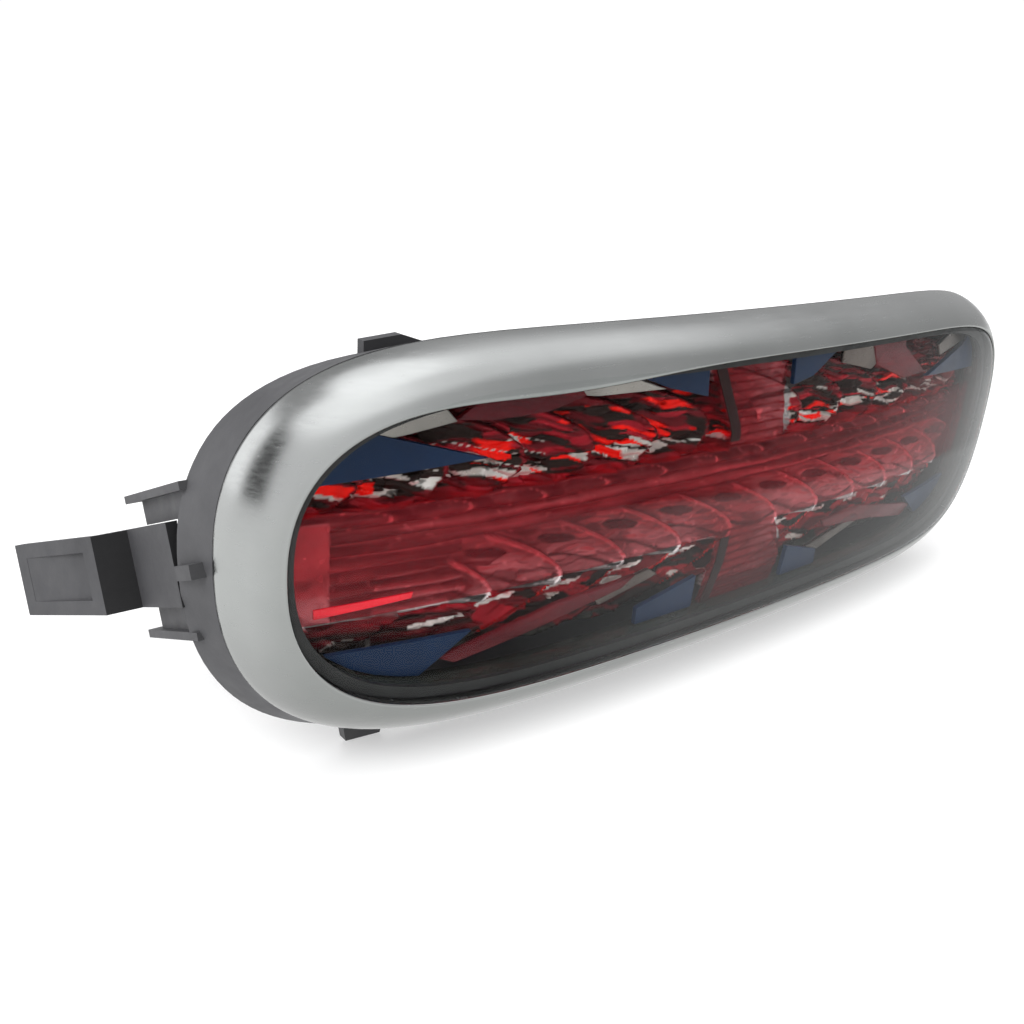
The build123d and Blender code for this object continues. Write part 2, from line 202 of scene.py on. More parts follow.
def moulding(name, dark, light, rough, f0=0.14, f1=0.24):
    """Matte grey moulding whose forward faces are darker as painted shade, with a fine spark-eroded grain."""
    k = N(name)
    b = k.bsdf(IOR=1.5)
    b.inputs["Specular IOR Level"].default_value = 0.3
    ge = k.n("ShaderNodeNewGeometry")
    sp = k.n("ShaderNodeSeparateXYZ")
    k.l(ge.outputs["Normal"], sp.inputs["Vector"])
    # painted shade: the base colour is multiplied down on faces whose normal points forward, by f0 and f1
    fac = k.ramp(k.rng(sp.outputs["Y"], -1.0, -0.4, 0.0, 1.0), [(0.0, (f0, f0, f0)), (0.4, (f1, f1, f1)), (0.8, (0.85, 0.85, 0.85)), (1.0, (1, 1, 1))])
    mix = k.n("ShaderNodeMix", data_type="RGBA", blend_type="MULTIPLY")
    mix.inputs[0].default_value = 1.0
    k.l(fac, mix.inputs[6])
    k.l(k.ramp(k.noise(60, 5), [(0.3, dark), (0.72, light)]), mix.inputs[7])
    k.l(mix.outputs[2], b.inputs["Base Color"])
    k.l(k.rng(k.noise(220, 3), 0.3, 0.7, rough[0], rough[1]), b.inputs["Roughness"])
    k.l(k.bump(k.noise(1400, 3, 0.6), 0.25, 0.00012), b.inputs["Normal"])
    return k.done(b.outputs["BSDF"])


M = {}
# the arms take the darkest painted shade on their forward faces, the housing a lighter one
M["housing"] = moulding("housing_grey_plastic", (0.068, 0.068, 0.072), (0.09, 0.09, 0.095), (0.5, 0.66), 0.5, 0.6)
M["arm"] = moulding("snap_arm_grey_plastic", (0.056, 0.056, 0.06), (0.074, 0.074, 0.079), (0.5, 0.66))
M["body"] = plastic("rear_body_plastic", (0.046, 0.046, 0.049), (0.064, 0.064, 0.068), (0.5, 0.66))
M["black"] = plastic("socket_black_plastic", (0.016, 0.016, 0.017), (0.03, 0.03, 0.031), (0.35, 0.5))
M["foam"] = plastic("foam_seal", (0.012, 0.012, 0.012), (0.04, 0.04, 0.04), (0.8, 0.95), 700, 0.9)
M["rubber"] = plastic("seal_rubber", (0.012, 0.012, 0.012), (0.025, 0.025, 0.025), (0.6, 0.75), 900, 0.3)
M["bezel"] = plastic("dark_bezel", (0.012, 0.014, 0.012), (0.028, 0.03, 0.027), (0.16, 0.28), 900, 0.08)
M["laminate"] = plastic("board_mask", (0.62, 0.64, 0.62), (0.75, 0.76, 0.74), (0.3, 0.42), 1800, 0.1)
M["chip"] = plastic("chip_epoxy", (0.015, 0.015, 0.017), (0.03, 0.03, 0.032), (0.45, 0.6))
M["ceramic"] = plastic("chip_ceramic", (0.08, 0.065, 0.055), (0.14, 0.12, 0.1), (0.5, 0.6))
M["pvc_red"] = plastic("lead_red", (0.35, 0.01, 0.01), (0.5, 0.02, 0.02), (0.3, 0.4))
M["pvc_black"] = plastic("lead_black", (0.012, 0.012, 0.012), (0.02, 0.02, 0.02), (0.3, 0.4))
M["membrane"] = plastic("vent_membrane", (0.62, 0.62, 0.6), (0.8, 0.8, 0.78), (0.7, 0.85), 2600, 0.6)
M["steel"] = metal("screw_steel", (0.5, 0.5, 0.5), (0.66, 0.66, 0.65), (0.25, 0.42), (1, 1, 1), 1200, 0.2)
M["brass"] = metal("terminal_brass", (0.62, 0.46, 0.2), (0.78, 0.62, 0.32), (0.22, 0.34), (1, 1, 6), 900, 0.1)
M["tray"] = metal("tray_metallised", (0.16, 0.14, 0.14), (0.4, 0.37, 0.36), (0.12, 0.25), (1, 1, 1), 300, 0.1)


def ring_mat():
    k = N("ring_satin_silver")
    b = k.bsdf(Metallic=1.0)
    ge = k.n("ShaderNodeNewGeometry")
    sp = k.n("ShaderNodeSeparateXYZ")
    k.l(ge.outputs["Normal"], sp.inputs["Vector"])
    # painted shade: faces turned downwards get a darker base colour
    under = k.ramp(k.rng(sp.outputs["Z"], -0.75, 0.25, 0.0, 1.0), [(0.0, (0.5, 0.5, 0.49)), (0.75, (0.93, 0.94, 0.93)), (1.0, (1, 1, 1))])
    mix = k.n("ShaderNodeMix", data_type="RGBA", blend_type="MULTIPLY")
    mix.inputs[0].default_value = 1.0
    # painted shade: faces turned towards the front get a darker base colour
    front = k.ramp(k.rng(sp.outputs["Y"], -1.0, -0.5, 0.0, 1.0), [(0.0, (0.76, 0.765, 0.76)), (0.5, (0.86, 0.865, 0.86)), (1.0, (1, 1, 1))])
    mix2 = k.n("ShaderNodeMix", data_type="RGBA", blend_type="MULTIPLY")
    mix2.inputs[0].default_value = 1.0
    k.l(under, mix.inputs[6])
    k.l(k.ramp(k.noise(40, 4), [(0.3, RING_A), (0.7, RING_B)]), mix.inputs[7])
    k.l(mix.outputs[2], mix2.inputs[6])
    k.l(front, mix2.inputs[7])
    k.l(mix2.outputs[2], b.inputs["Base Color"])
    k.l(k.rng(k.noise(420, 4, 0.6, (0.25, 1, 4)), 0.3, 0.7, 0.2, 0.28), b.inputs["Roughness"])
    k.l(k.bump(k.noise(900, 2, 0.6, (0.3, 1, 3)), 0.03, 0.00005), b.inputs["Normal"])
    return k.done(b.outputs["BSDF"])


RING_A, RING_B = (0.47, 0.482, 0.478), (0.53, 0.541, 0.537)
M["ring"] = ring_mat()
M["navy"] = plastic("navy_panel", (0.0018, 0.0125, 0.043), (0.003, 0.019, 0.06), (0.3, 0.42), 1600, 0.12)
for _n in M["navy"].node_tree.nodes:
    if _n.type == "BSDF_PRINCIPLED":
        _n.inputs["Specular IOR Level"].default_value = 0.18
M["pale"] = metal("pale_silver_strip", (0.2, 0.188, 0.175), (0.36, 0.335, 0.31), (0.25, 0.4), (1, 1, 3), 500, 0.15)
# a darker copy of the pale silver strip as painted shade, for all but the two upper-left strips
M["pale_dim"] = metal("pale_strip_shaded", (0.045, 0.036, 0.032), (0.17, 0.14, 0.125), (0.25, 0.4), (1, 1, 3), 380, 0.2)
# near-black red: painted shade on the cross's side walls
M["wall"] = plastic("cross_side_wall", (0.012, 0.002, 0.002), (0.03, 0.005, 0.005), (0.3, 0.45), 900, 0.2)
for _n in M["wall"].node_tree.nodes:
    if _n.type == "BSDF_PRINCIPLED":
        _n.inputs["Specular IOR Level"].default_value = 0.1


def chrome_cups():
    k = N("reflector_metallised")
    # the tint attribute holds the reflector's painted light: painted highlights, glints and shade laid over its own
    # grey and red
    at = k.n("ShaderNodeAttribute", attribute_name="tint")
    mix = k.n("ShaderNodeMix", data_type="RGBA", blend_type="MULTIPLY")
    mix.inputs[0].default_value = 1.0
    k.l(at.outputs["Color"], mix.inputs[6])
    k.l(k.ramp(k.noise(190, 5, 0.65), [(0.3, (0.62, 0.6, 0.6)), (0.62, (1, 1, 1))]), mix.inputs[7])
    b = k.bsdf(Metallic=0.5)
    b.inputs["Specular IOR Level"].default_value = 0.12
    k.l(mix.outputs[2], b.inputs["Base Color"])
    k.l(k.rng(k.noise(420, 3), 0.3, 0.7, 0.12, 0.3), b.inputs["Roughness"])
    k.l(k.bump(k.noise(210, 3, 0.5), 0.5, 0.0006), b.inputs["Normal"])
    return k.done(b.outputs["BSDF"])


M["cups"] = chrome_cups()


def red_plastic(name, tint, body, opaque, lo=0.6, hi=1.3):
    """Deep red clear plastic: tinted see-through, some body colour and a gloss."""
    k = N(name)
    tr = k.n("ShaderNodeBsdfTransparent")
    k.l(k.ramp(k.noise(60, 3, 0.6, (0.2, 1, 3.0)), [(0.3, tuple(c * 0.93 for c in tint)), (0.7, tint)]), tr.inputs["Color"])
    b = k.bsdf(IOR=1.45)
    k.l(k.ramp(k.noise(70, 4, 0.6, (0.25, 1, 3.5)), [(0.28, tuple(c * 0.5 for c in body)), (0.7, body)]), b.inputs["Base Color"])
    k.l(k.rng(k.noise(260, 3), 0.3, 0.7, 0.1, 0.22), b.inputs["Roughness"])
    k.l(k.bump(k.noise(90, 3, 0.5, (0.3, 1, 3)), 0.25, 0.0005), b.inputs["Normal"])
    mx = k.n("ShaderNodeMixShader")
    k.l(k.rng(k.noise(55, 4, 0.6, (0.3, 1, 3)), 0.3, 0.7, opaque * lo, min(1.0, opaque * hi)), mx.inputs["Fac"])
    k.l(tr.outputs["BSDF"], mx.inputs[1])
    k.l(b.outputs["BSDF"], mx.inputs[2])
    return k.done(mx.outputs["Shader"])


M["red"] = red_plastic("red_band_plastic", (0.985, 0.54, 0.57), (0.45, 0.015, 0.034), 0.12)
M["red2"] = red_plastic("red_strip_plastic", (0.8, 0.12, 0.15), (0.2, 0.008, 0.02), 0.5, 0.7, 1.25)
# near-opaque bright red: a painted highlight for the rib on the band
M["redhot"] = red_plastic("red_rib_glint_plastic", (0.9, 0.02, 0.03), (0.95, 0.01, 0.03), 0.92)
M["led"] = red_plastic("led_encapsulant", (0.8, 0.1, 0.1), (0.5, 0.03, 0.03), 0.6)


def lens_mat():
    """Clear moulding, lightly smoked: see-through, with a gloss that rises at a grazing angle on its outer face."""
    k = N("outer_lens_clear")
    tr = k.n("ShaderNodeBsdfTransparent")
    k.l(k.ramp(k.noise(20, 2), [(0.3, (0.955, 0.962, 0.96)), (0.7, (0.968, 0.974, 0.972))]), tr.inputs["Color"])
    g = k.n("ShaderNodeBsdfGlossy")
    k.l(k.ramp(k.noise(30, 2), [(0.3, (0.86, 0.88, 0.88)), (0.7, (0.95, 0.96, 0.96))]), g.inputs["Color"])
    k.l(k.rng(k.noise(24, 2), 0.3, 0.7, 0.05, 0.1), g.inputs["Roughness"])
    k.l(k.bump(k.noise(38, 2), 0.04, 0.0003), g.inputs["Normal"])
    lw = k.n("ShaderNodeLayerWeight", Blend=0.5)
    pw = k.n("ShaderNodeMath", operation="POWER")
    pw.inputs[1].default_value = 5.8
    k.l(lw.outputs["Facing"], pw.inputs[0])
    # painted sheen: the gloss is made stronger under a slanting line across the face, which pales the lower half
    mp = k.n("ShaderNodeMapping")
    k.l(k.tc.outputs["Object"], mp.inputs["Vector"])
    sx = k.n("ShaderNodeSeparateXYZ")
    k.l(mp.outputs["Vector"], sx.inputs["Vector"])
    sl = k.n("ShaderNodeMath", operation="MULTIPLY_ADD")
    k.l(sx.outputs["X"], sl.inputs[0])
    sl.inputs[1].default_value = 0.077
    sl.inputs[2].default_value = -(0.0024 - OZ / 1000.0)
    dz = k.n("ShaderNodeMath", operation="ADD")
    k.l(sl.outputs["Value"], dz.inputs[0])
    k.l(sx.outputs["Z"], dz.inputs[1])
    low = k.rng(dz.outputs["Value"], -0.0012, 0.0012, LOW_SHEEN, 0.0)
    fade = k.rng(sx.outputs["X"], -0.075, -0.03, 0.15, 1.0)
    lf = k.n("ShaderNodeMath", operation="MULTIPLY")
    k.l(low, lf.inputs[0])
    k.l(fade, lf.inputs[1])
    sm = k.n("ShaderNodeMath", operation="ADD")
    k.l(lf.outputs["Value"], sm.inputs[0])
    sm.inputs[1].default_value = 0.003
    ad = k.n("ShaderNodeMath", operation="ADD", use_clamp=True)
    k.l(pw.outputs["Value"], ad.inputs[0])
    k.l(sm.outputs["Value"], ad.inputs[1])
    ge = k.n("ShaderNodeNewGeometry")
    fr = k.n("ShaderNodeMath", operation="SUBTRACT", use_clamp=True)
    fr.inputs[0].default_value = 1.0
    k.l(ge.outputs["Backfacing"], fr.inputs[1])
    fa = k.n("ShaderNodeMath", operation="MULTIPLY")
    k.l(ad.outputs["Value"], fa.inputs[0])
    k.l(fr.outputs["Value"], fa.inputs[1])
    mx = k.n("ShaderNodeMixShader")
    k.l(fa.outputs["Value"], mx.inputs["Fac"])
    k.l(tr.outputs["BSDF"], mx.inputs[1])
    k.l(g.outputs["BSDF"], mx.inputs[2])
    return k.done(mx.outputs["Shader"])


LOW_SHEEN = 0.041
M["lens"] = lens_mat()


def set_mat(node, mat):
    o = bpy.data.objects.get(node)
    if o is None:
        for c in bpy.data.objects:
            if c.name.split(".")[0] == node:
                o = c
    if o is None:
        return
    if not o.material_slots:
        o.data.materials.append(mat)
    for s in o.material_slots:
        s.material = mat


for node, mat in {
    "rear_housing": "housing", "snap_arm_left": "housing", "snap_arm_right": "housing", "rear_body": "body",
    "lens_seal": "rubber", "inner_bezel": "bezel", "body_gasket": "foam", "body_screws": "steel",
    "connector_socket": "black", "connector_terminals": "brass", "vent_cap": "black", "vent_membrane": "membrane",
    "circuit_board": "laminate", "led_chips": "led", "board_resistors": "ceramic", "driver_chip": "chip",
    "board_capacitors": "chip", "board_screws": "steel", "lead_red": "pvc_red", "lead_black": "pvc_black",
    "reflector_tray": "tray",
}.items():
    set_mat(node, M[mat])


# ------------------------------------------------------------------ mesh helpers
def mesh_obj(name, verts, faces, mat, replaces=(), smooth=True, colors=None, body=BODY):
    me = bpy.data.meshes.new(name)
    me.from_pydata([tuple(v) for v in verts], [], faces)
    me.validate()
    me.update()
    if colors is not None:
        ca = me.color_attributes.new(name="tint", type="FLOAT_COLOR", domain="POINT")
        for i, c in enumerate(colors):
            ca.data[i].color = (*c, 1.0)
    o = bpy.data.objects.new(name, me)
    bpy.context.scene.collection.objects.link(o)
    bm = bmesh.new()
    bm.from_mesh(me)
    bmesh.ops.recalc_face_normals(bm, faces=bm.faces)
    bm.to_mesh(me)
    bm.free()
    for p in me.polygons:
        p.use_smooth = smooth
    me.materials.append(mat)
    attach(o, body)
    if replaces:
        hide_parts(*replaces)
    return o


def hoop(name, levels, n, mat, replaces=(), lips=None):
    verts, faces = [], []
    for li, (da, db, y, dz) in enumerate(levels):
        for x, z in oval_pts(HALF_L - da, HALF_H - db, n, dz):
            verts.append(P(x, y + bow(x), z + (lip(x, z, lips[li]) if lips else 0.0)))
    k = len(levels)
    for i in range(k):
        j = (i + 1) % k
        for a in range(n):
            b = (a + 1) % n
            faces.append((i * n + a, i * n + b, j * n + b, j * n + a))
    return mesh_obj(name, verts, faces, mat, replaces)


# ------------------------------------------------------------------ trim ring
def roll(u, inset=0.0):
    d = RING_D - inset
    y = -d * max(0.0, 1 - (1 - u) ** ROLL_N) ** (1 / ROLL_N)
    return (BEZ_END * u + PART_A * (1 - u) + inset * (1 - u), WM * u + PART_B * (1 - u) + inset * (1 - u), y, DZM * u)


us = [1 - math.cos(math.pi / 2 * i / 22) for i in range(23)]
sec = [(PART_A + 0.35, PART_B + 0.35, 0.0, 0.0), (PART_A, PART_B, -0.25, 0.0)]
sec += [roll(u) for u in us if 0.003 < u < 0.985]
sec += [(BEZ_END - 0.35, WM - 0.35, -RING_D, DZM), (BEZ_END - 0.08, WM - 0.08, -RING_D + 0.12, DZM),
        (BEZ_END, WM, -RING_D + 0.4, DZM), (BEZ_END, WM, -RING_D + 2.2, DZM), (BEZ_END - 1.6, WM - 1.6, -RING_D + 2.6, DZM)]
sec += [(a + 0.2, b + 0.2, y, dz) for a, b, y, dz in (roll(u, RING_T) for u in (0.6, 0.4, 0.2, 0.08, 0.0))]


def lip(x, z, w):
    """The ring's lip sits a little lower over the upper left."""
    return 0.0 if z <= 0 else -w * 2.3 * math.exp(-((x + 64.0) / 30.0) ** 2) * min(1.0, z / 20.0)


LIP_W = [0.0, 0.0] + [max(0.0, (u - 0.45) / 0.55) ** 1.5 for u in us if 0.003 < u < 0.985] + [1.0] * 5
LIP_W += [0.0] * (len(sec) - len(LIP_W))
ring = hoop("trim_ring_shell", sec, 320, M["ring"], ("trim_ring",), LIP_W)

# ------------------------------------------------------------------ outer lens: a dome over the oval
LA, LB = HALF_L - BEZ_END - 0.1, HALF_H - WM - 0.1
NL = 256
ks = [1.0, 0.997, 0.99, 0.975, 0.95, 0.92, 0.88, 0.83, 0.77, 0.7, 0.62, 0.53, 0.43, 0.32, 0.2, 0.08]
base = oval_pts(LA, LB, NL)
verts, faces = [], []


def dome(off):
    first = len(verts)
    for k in ks:
        for x, z in base:
            edge = 0.5 * max(0.0, 1 - (1 - k) / 0.012) ** 2 if off == 0 else 0.0
            verts.append(P(x * k, -RING_D - LENS_CROWN * (1 - k * k) + bow(x * k) + off + edge, z * k + DZM))
    verts.append(P(0, -RING_D - LENS_CROWN + off, DZM))
    c = len(verts) - 1
    for i in range(len(ks) - 1):
        for a in range(NL):
            b = (a + 1) % NL
            faces.append((first + i * NL + a, first + i * NL + b, first + (i + 1) * NL + b, first + (i + 1) * NL + a))
    last = first + (len(ks) - 1) * NL
    for a in range(NL):
        faces.append((last + a, last + (a + 1) % NL, c))
    return first


f0 = dome(0.0)
f1 = dome(LENS_T)
for a in range(NL):
    b = (a + 1) % NL
    faces.append((f0 + a, f0 + b, f1 + b, f1 + a))
lens = mesh_obj("outer_lens_dome", verts, faces, M["lens"], ("outer_lens",))


bez = [(BEZ_END + 0.35, WM + 0.35, -RING_D + LENS_T + 0.5, DZM), (BEZ_END + 0.35, WM + 0.35, -2.6, DZM),
       (BEZ_END + 1.7, WM + 1.6, -2.6, DZM + 1.05), (BEZ_END + 1.55, WM + 1.45, -4.5, DZM + 1.0), (BEZ_END + 1.3, WM + 1.2, -RING_D + LENS_T + 1.0, DZM + 0.85),
       (BEZ_END + 1.1, WM + 1.0, -RING_D + LENS_T + 0.5, DZM + 0.7)]
hoop("inner_bezel_wall", bez, 220, M["bezel"], ("inner_bezel",))


# ------------------------------------------------------------------ plates that follow the bowed face
def clip_half(poly, a, b, c):
    """Keep a*x + b*z <= c."""
    out = []
    for i in range(len(poly)):
        p, q = poly[i], poly[(i + 1) % len(poly)]
        dp, dq = a * p[0] + b * p[1] - c, a * q[0] + b * q[1] - c
        if dp <= 0:
            out.append(p)
        if (dp < 0 < dq) or (dq < 0 < dp):
            t = dp / (dp - dq)
            out.append((p[0] + t * (q[0] - p[0]), p[1] + t * (q[1] - p[1])))
    return out


IA, IB, DZC = HALF_L - BEZ_END - 1.9, HALF_H - WM - 1.8, DZM + 1.05
CLIP = oval_pts(IA, IB, 96, DZC)


def clip_oval(poly):
    for i in range(len(CLIP)):
        (x0, z0), (x1, z1) = CLIP[i], CLIP[(i + 1) % len(CLIP)]
        nx, nz = (z1 - z0), -(x1 - x0)
        poly = clip_half(poly, nx, nz, nx * x0 + nz * z0)
        if len(poly) < 3:
            return []
    return poly


def plates(name, polys, yo, thick, mat, replaces=(), step=3.0, ripple=None, bevel=0.25, body=BODY):
    bm = bmesh.new()
    for poly in polys:
        poly = clip_oval(poly)
        if len(poly) < 3:
            continue
        x0, x1 = min(p[0] for p in poly), max(p[0] for p in poly)
        k = max(1, int((x1 - x0) / step))
        for i in range(k):
            a, b = x0 + (x1 - x0) * i / k, x0 + (x1 - x0) * (i + 1) / k
            q = clip_half(clip_half(poly, 1, 0, b), -1, 0, -a)
            q2 = []
            for p in q:
                if not q2 or math.dist(p, q2[-1]) > 0.02:
                    q2.append(p)
            if len(q2) > 2 and math.dist(q2[0], q2[-1]) < 0.02:
                q2.pop()
            if len(q2) < 3:
                continue
            vs = [bm.verts.new(P(x, yo + bow(x) + (ripple(x, z) if ripple else 0.0), z)) for x, z in q2]
            try:
                bm.faces.new(vs)
            except ValueError:
                pass
    bmesh.ops.remove_doubles(bm, verts=bm.verts, dist=0.00004)
    bmesh.ops.recalc_face_normals(bm, faces=bm.faces)
    for f in bm.faces:
        if f.normal.y > 0:
            f.normal_flip()
    me = bpy.data.meshes.new(name)
    bm.to_mesh(me)
    bm.free()
    o = bpy.data.objects.new(name, me)
    bpy.context.scene.collection.objects.link(o)
    me.materials.append(mat)
    s = o.modifiers.new("thick", "SOLIDIFY")
    s.thickness = thick / 1000
    s.offset = -1
    b = o.modifiers.new("edge", "BEVEL")
    b.width = bevel / 1000
    b.segments = 2
    b.limit_method = "ANGLE"
    b.angle_limit = math.radians(40)
    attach(o, body)
    if replaces:
        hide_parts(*replaces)
    return o


BT, BB = 10.7, -10.7      # the band's top and bottom edges
YB = -4.6
# band and upright bar
band = [(-130, BB), (130, BB), (130, BT), (-130, BT)]
BAR_L = [(-40, -12.6), (-28.1, -12.1), (-18.5, -8.2), (-12.4, -7.3), (-10.7, -7.6), (10.7, -9.4), (14.7, -9.6), (30.3, -18.2), (40, -19.0)]
BAR_R = [(-40, 13.0), (-27.6, 14.0), (-21.8, 16.6), (-10.7, 12.6), (10.7, 10.0), (20.0, 8.0), (28.5, 6.9), (40, 6.9)]


def edge(tab, z):
    for (z0, x0), (z1, x1) in zip(tab, tab[1:]):
        if z <= z1:
            return x0 + (x1 - x0) * max(0.0, (z - z0) / (z1 - z0))
    return tab[-1][1]


def bar_piece(z0, z1, wl=0.0, wr=None):
    zs = [z0 + (z1 - z0) * i / 14 for i in range(15)]
    left = [(edge(BAR_L, z) + wl, z) for z in zs]
    right = [((edge(BAR_R, z) if wr is None else edge(BAR_L, z) + wr), z) for z in zs]
    return [[left[i], right[i], right[i + 1], left[i + 1]] for i in range(14)]


plates("red_cross_insert", [band] + bar_piece(BT, 40) + bar_piece(-40, BB), YB, 1.3, M["red"], ("red_cross_lens",))
# flat strips along the left edge of the upright bar stand for the cross's side walls; their near-black colour is
# painted shade
plates("red_cross_side_wall", bar_piece(BT + 1.2, 40, 0.2, 3.4) + bar_piece(-40, BB - 1.2, 0.0, 3.0), YB - 0.25, 0.3, M["wall"], (), step=50, bevel=0.05)


# the quarter pattern, drawn for the upper left and mirrored
def mirror(polys):
    out = []
    for sx in (1, -1):
        for sz in (1, -1):
            for p in polys:
                q = [(x * sx, DZM + (z - DZM) * sz) for x, z in p]
                out.append(q if sx * sz > 0 else q[::-1])
    return out


navy = [[(-118, 15.4), (-75.0, 17.6), (-97.4, 24.3), (-104, 30), (-118, 30)],
        [(-43.0, 31.0), (-31.0, 26.6), (-19.2, 23.6), (-20.2, 34.0), (-43.0, 34.0)]]
navy_all = [navy[0], [(-x, z) for x, z in navy[0]][::-1], navy[1], [(10.4, 23.0), (17.6, 24.4), (28.0, 31.0), (28.0, 34.0), (9.0, 34.0)],
            [(-118, -17.4), (-103, -17.2), (-76.6, -18.0), (-88, -25.6), (-104, -30), (-118, -30)], [(118, -17.4), (118, -30), (104, -30), (88, -25.6), (78, -18.4), (103, -17.2)],
            [(-33, -23.4), (-14.6, -19.6), (-15.4, -34), (-33, -34)], [(19.6, -19.6), (33, -23.4), (33, -34), (17.2, -34)]]
pale_up = [[(-97.6, 24.5), (-95.6, 22.9), (-81.6, 25.1), (-86, 30), (-97.6, 30)],
           [(-61.0, 28.2), (-50, 26.8), (-31.5, 26.4), (-44.0, 30.8), (-61.0, 34.0)]]
pale_dn = [[(98.6, 25.2), (98.6, 29), (88, 29), (80.0, 25.6), (82.5, 22.4)], [(30.0, 26.0), (44.0, 23.0), (62, 34), (30, 34)],
           [(-47, -17.2), (-30, -14.6), (-27, -16.6), (-44, -20.2)], [(29, -22), (52, -17.8), (54, -19.4), (31, -24.8)]]
redd = [[(-82.0, 25.4), (-70.0, 33.0), (-58.0, 33.0), (-53.0, 27.2), (-62.0, 25.0), (-74.0, 24.6)],
        [(56, 34), (40, 34), (46, 24), (62, 18.6), (74, 19), (60, 27)],
        [(-84, -22.6), (-56, -16.8), (-34, -15.0), (-38, -17.4), (-60, -21.4), (-80, -24.6)],
        [(34, -15.8), (52, -15.4), (84, -21.6), (78, -24.2), (58, -20.4), (36, -18.0)]]


def ccw(poly):
    a_ = sum(p[0] * q[1] - q[0] * p[1] for p, q in zip(poly, poly[1:] + poly[:1]))
    return poly if a_ > 0 else poly[::-1]


plates("navy_corner_panels", [ccw(q) for q in navy_all], -5.0, 1.2, M["navy"], ("blue_corner_panels",))
plates("pale_strips", [ccw(q) for q in pale_up], -4.6, 1.0, M["pale"], ("pale_diagonal_strips",))
# the other pale strips take the darker painted-shade copy
plates("pale_strips_shaded", [ccw(q) for q in pale_dn], -4.4, 1.0, M["pale_dim"], ())
plates("red_diagonals", [ccw(q) for q in redd], -4.7, 1.2, M["red2"], ("red_diagonal_strips",))


# ------------------------------------------------------------------ reflector relief
def hsh(i, j):
    v = math.sin(i * 12.9898 + j * 78.233) * 43758.5453
    return v - math.floor(v)


def on_face(x, z):
    """Where a point of the relief appears on the plates in front of it."""
    k_ = 5.2 / (142.0 + bow(x))
    return x - k_ * (x + 185.9), z - k_ * (z - 77.8)


def relief(name, z0, z1, step, fun, replaces):
    nx = int(2 * 112 / step[0])
    nz = int((z1 - z0) / step[1])
    idx, verts, faces, cols = {}, [], [], []
    for i in range(nx + 1):
        x = -113.5 + 227 * i / nx
        for j in range(nz + 1):
            z = z0 + (z1 - z0) * j / nz
            if inside(x, z, IA + 0.6, IB + 0.6, DZC):
                y, c = fun(*on_face(x, z))
                idx[(i, j)] = len(verts)
                verts.append(P(x, max(-3.0, min(4.6, y)) + bow(x), z))
                cols.append(c)
    for i in range(nx):
        for j in range(nz):
            q = [(i, j), (i + 1, j), (i + 1, j + 1), (i, j + 1)]
            if all(t in idx for t in q):
                faces.append([idx[t] for t in q])
    o = mesh_obj(name, verts, faces, M["cups"], replaces, smooth=True, colors=cols)
    s = o.modifiers.new("thick", "SOLIDIFY")
    s.thickness = 0.0006
    s.offset = 0
    return o


# relief colours: RED is the cups' red; the others are painted light: red and white glints, chrome highlights, dark
# painted shade and a shaded red
RED, RED_GLINT, CHROME_HIGHLIGHT, DARK_SHADE, WHITE_GLINT = (0.34, 0.012, 0.022), (1.0, 0.012, 0.006), (0.55, 0.5, 0.46), (0.022, 0.012, 0.01), (0.76, 0.73, 0.69)
RED_SHADED = (0.13, 0.008, 0.012)
GRN = (0.035, 0.036, 0.03)


def mixc(a, b, t):
    t = max(0.0, min(1.0, t))
    return tuple(p * (1 - t) + q * t for p, q in zip(a, b))


def grey(v):
    return (v, v * 0.93, v * 0.92)


def step(v, a, b):
    t = max(0.0, min(1.0, (v - a) / (b - a)))
    return t * t * (3 - 2 * t)


def facet(x, z, sx, sz, skew, seed):
    """Irregular moulded facets: nearest jittered seed, its two random numbers, and the offset from it."""
    xs = (x + skew * z) / sx
    zs = z / sz
    ci, cj = math.floor(xs), math.floor(zs)
    best = (9e9, 0, 0, 0.0, 0.0)
    for i in (ci - 1, ci, ci + 1):
        for j in (cj - 1, cj, cj + 1):
            px, pz = i + 0.15 + 0.7 * hsh(i + seed, j), j + 0.15 + 0.7 * hsh(i, j + seed * 3 + 5)
            d = (xs - px) ** 2 + (zs - pz) ** 2
            if d < best[0]:
                best = (d, i, j, xs - px, zs - pz)
    _, i, j, dx, dz = best
    return hsh(i * 3 + seed, j * 7 + 1), hsh(i * 5 + 2, j + seed * 11), dx * sx, dz * sz


